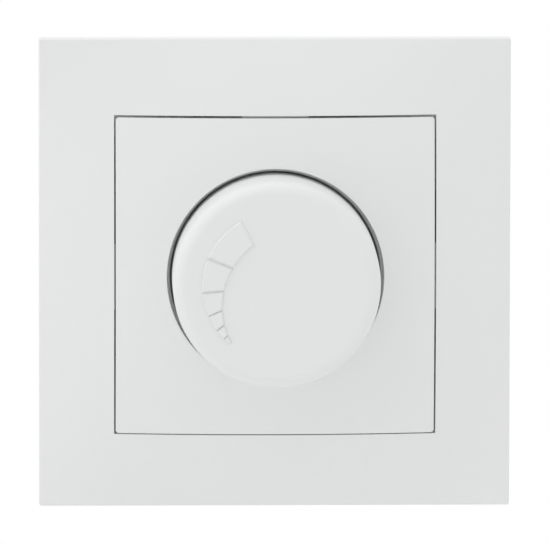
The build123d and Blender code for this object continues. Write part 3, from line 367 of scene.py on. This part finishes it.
def trim(shape, place, way):
    """Cuts off what lies beyond a place along y, towards plus or minus, and closes the cut."""
    everything = shape.verts[:] + shape.edges[:] + shape.faces[:]
    plane = {"plane_co": (0.0, place, 0.0), "plane_no": (0.0, way, 0.0)}
    bmesh.ops.bisect_plane(shape, geom=everything, dist=MERGE_DISTANCE, clear_outer=True, **plane)
    bmesh.ops.holes_fill(shape, edges=[edge for edge in shape.edges if edge.is_boundary], sides=0)


def thread(axis_x, axis_z, low, high, crest, pitch):
    """A closed bar along y with a right-hand V thread."""
    shape = bmesh.new()
    root = crest - THREAD_DEPTH_SHARE * pitch
    turns = ceil((high - low) / pitch) + 2
    start = low - 1.5 * pitch
    profile = [(root, start), (crest, start + pitch / 2), (root, start + pitch)]
    points = [shape.verts.new((axis_x + radius, y, axis_z)) for radius, y in profile]
    edges = [shape.edges.new(pair) for pair in zip(points, points[1:])]
    bmesh.ops.spin(
        shape,
        geom=points + edges,
        cent=(axis_x, 0.0, axis_z),
        axis=(0.0, 1.0, 0.0),
        dvec=(0.0, pitch / THREAD_STEPS, 0.0),
        angle=2 * pi * turns,
        steps=THREAD_STEPS * turns,
    )
    bmesh.ops.remove_doubles(shape, verts=shape.verts, dist=MERGE_DISTANCE)
    trim(shape, low, -1.0)
    trim(shape, high, 1.0)
    return shape


def add_piece(name, shape, body, slot, replaced):
    """Makes a shape into a piece of the object that stands for a CAD node."""
    bmesh.ops.recalc_face_normals(shape, faces=shape.faces)
    mesh = bpy.data.meshes.new(name)
    shape.to_mesh(mesh)
    shape.free()
    for face in mesh.polygons:
        face.use_smooth = True
    mesh.set_sharp_from_angle(angle=radians(SMOOTH_ANGLE))
    mesh.materials.append(FINISHES[slot])
    piece = bpy.data.objects.new(name, mesh)
    bpy.context.scene.collection.objects.link(piece)
    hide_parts(replaced)
    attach(piece, body)
    return piece


def threaded_screw(name, crest, pitch, head_height, head_way):
    """A screw with its CAD node's head, at the plus or minus end of y, and a threaded shank."""
    low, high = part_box(name)
    middle = (Vector(low) + Vector(high)) / 2
    head_end, tip = (high[1], low[1]) if head_way > 0 else (low[1], high[1])
    seat = head_end - head_way * head_height
    shank = thread(middle.x, middle.z, min(seat, tip), max(seat, tip), crest, pitch)
    spare = bpy.data.meshes.new("shank")
    shank.to_mesh(spare)
    shank.free()
    screw = bmesh.new()
    screw.from_mesh(nodes[name].data)
    bmesh.ops.remove_doubles(screw, verts=screw.verts, dist=MERGE_DISTANCE)
    trim(screw, seat, -head_way)
    screw.from_mesh(spare)
    bpy.data.meshes.remove(spare)
    add_piece(name + "_threaded", screw, name, "zinc_screw", name)


def make_screws():
    """Threads on the screws that turn."""
    for side in ("left", "right"):
        name = f"claw_screw_{side}"
        threaded_screw(name, CLAW_THREAD_RADIUS, CLAW_THREAD_PITCH, CLAW_HEAD_HEIGHT, -1)
    for number in (1, 2, 3):
        name = f"terminal_screw_{number}"
        threaded_screw(name, TERMINAL_THREAD_RADIUS, TERMINAL_THREAD_PITCH, TERMINAL_HEAD_HEIGHT, 1)


def make_spring():
    """The return spring, merged from its CAD node and carried by the insert; the real one gets
    shorter towards its rear end as the knob is pushed.
    """
    coil = bmesh.new()
    coil.from_mesh(nodes["return_spring"].data)
    bmesh.ops.remove_doubles(coil, verts=coil.verts, dist=MERGE_DISTANCE)
    piece = add_piece("return_spring_coil", coil, "insert", "spring_steel", "return_spring")
    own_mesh(piece)


def make_world():
    """A pale room that reflects softly, with a plain white background."""
    world = bpy.data.worlds.new("studio")
    bpy.context.scene.world = world
    world.use_nodes = True
    tree = world.node_tree
    tree.nodes.clear()
    path = add(tree, "ShaderNodeLightPath").outputs
    way = add(tree, "ShaderNodeTexCoord").outputs["Generated"]
    ways = {0: way, 1: DARK_SIDE_WAY}
    facing = add(tree, "ShaderNodeVectorMath", ways, operation="DOT_PRODUCT").outputs["Value"]
    change = {
        "Value": facing,
        "From Min": DARK_SIDE_START,
        "From Max": 1.0,
        "To Min": ROOM_LEVEL,
        "To Max": ROOM_LEVEL + DARK_SIDE_CHANGE,
    }
    room = add(tree, "ShaderNodeMapRange", change, interpolation_type="SMOOTHSTEP").outputs[0]
    clear_ray = calculate(tree, "MAXIMUM", path["Is Glossy Ray"], path["Is Transmission Ray"])
    clear_ray = calculate(tree, "MAXIMUM", clear_ray, path["Is Camera Ray"])
    level = add(tree, "ShaderNodeMix", {0: clear_ray, 2: room, 3: BACKGROUND_LEVEL}).outputs[0]
    sky = add(tree, "ShaderNodeBackground", {"Color": (1.0, 1.0, 1.0, 1.0), "Strength": level})
    out = add(tree, "ShaderNodeOutputWorld")
    tree.links.new(sky.outputs[0], out.inputs["Surface"])


def camera_direction():
    """From the part towards the camera."""
    azimuth, elevation = radians(CAMERA_AZIMUTH), radians(CAMERA_ELEVATION)
    return Vector((sin(azimuth) * cos(elevation), -cos(azimuth) * cos(elevation), sin(elevation)))


def make_camera():
    """The photograph's camera, with its frame set by the scale on the wall."""
    data = bpy.data.cameras.new("camera")
    data.sensor_width = SENSOR_WIDTH
    data.lens = PIXELS_PER_METRE * CAMERA_DISTANCE * SENSOR_WIDTH / PHOTO_WIDTH
    data.clip_start = CLIP_START
    camera = bpy.data.objects.new("camera", data)
    bpy.context.scene.collection.objects.link(camera)
    back = camera_direction()
    camera.location = CAMERA_AIM + back * CAMERA_DISTANCE
    level = (-back).to_track_quat("-Z", "Y")
    camera.rotation_euler = (level @ Quaternion((0, 0, 1), radians(CAMERA_ROLL))).to_euler()
    bpy.context.scene.camera = camera


def make_lamp(name, way, power):
    """A square soft box that points at the part."""
    data = bpy.data.lights.new(name, "AREA")
    data.size = LAMP_SIZE
    data.energy = power
    lamp = bpy.data.objects.new(name, data)
    bpy.context.scene.collection.objects.link(lamp)
    lamp.location = way.normalized() * LAMP_DISTANCE
    lamp.rotation_euler = (-way).to_track_quat("-Z", "Y").to_euler()
    lamp.visible_camera = False


def make_floor():
    """A pale round floor that fades out at its rim and is clear from below."""
    made, tree, shader = new_material("pale_floor")
    shader.inputs["Base Color"].default_value = FLOOR_COLOUR
    shader.inputs["Roughness"].default_value = FLOOR_ROUGHNESS
    place = object_place(tree)
    reach = add(tree, "ShaderNodeVectorMath", {0: place}, operation="LENGTH").outputs["Value"]
    fade = {
        "Value": reach,
        "From Min": FLOOR_FADE_START,
        "From Max": FLOOR_RADIUS,
        "To Min": 1.0,
        "To Max": 0.0,
    }
    cover = add(tree, "ShaderNodeMapRange", fade, interpolation_type="SMOOTHSTEP").outputs["Result"]
    from_below = add(tree, "ShaderNodeNewGeometry").outputs["Backfacing"]
    from_above = calculate(tree, "SUBTRACT", 1.0, from_below)
    tree.links.new(calculate(tree, "MULTIPLY", cover, from_above), shader.inputs["Alpha"])
    mesh = bpy.data.meshes.new("floor")
    shape = bmesh.new()
    bmesh.ops.create_circle(shape, cap_ends=True, segments=FLOOR_SEGMENTS, radius=FLOOR_RADIUS)
    shape.to_mesh(mesh)
    shape.free()
    mesh.materials.append(made)
    floor = bpy.data.objects.new("floor", mesh)
    bpy.context.scene.collection.objects.link(floor)
    floor.location.z = cad_box[0].z - FLOOR_DROP


bpy.context.scene.view_settings.view_transform = "Standard"
dress_nodes()
make_screws()
make_spring()
make_world()
make_camera()
for lamp_name, (lamp_way, lamp_power) in LAMPS.items():
    make_lamp(lamp_name, lamp_way, lamp_power)
make_floor()
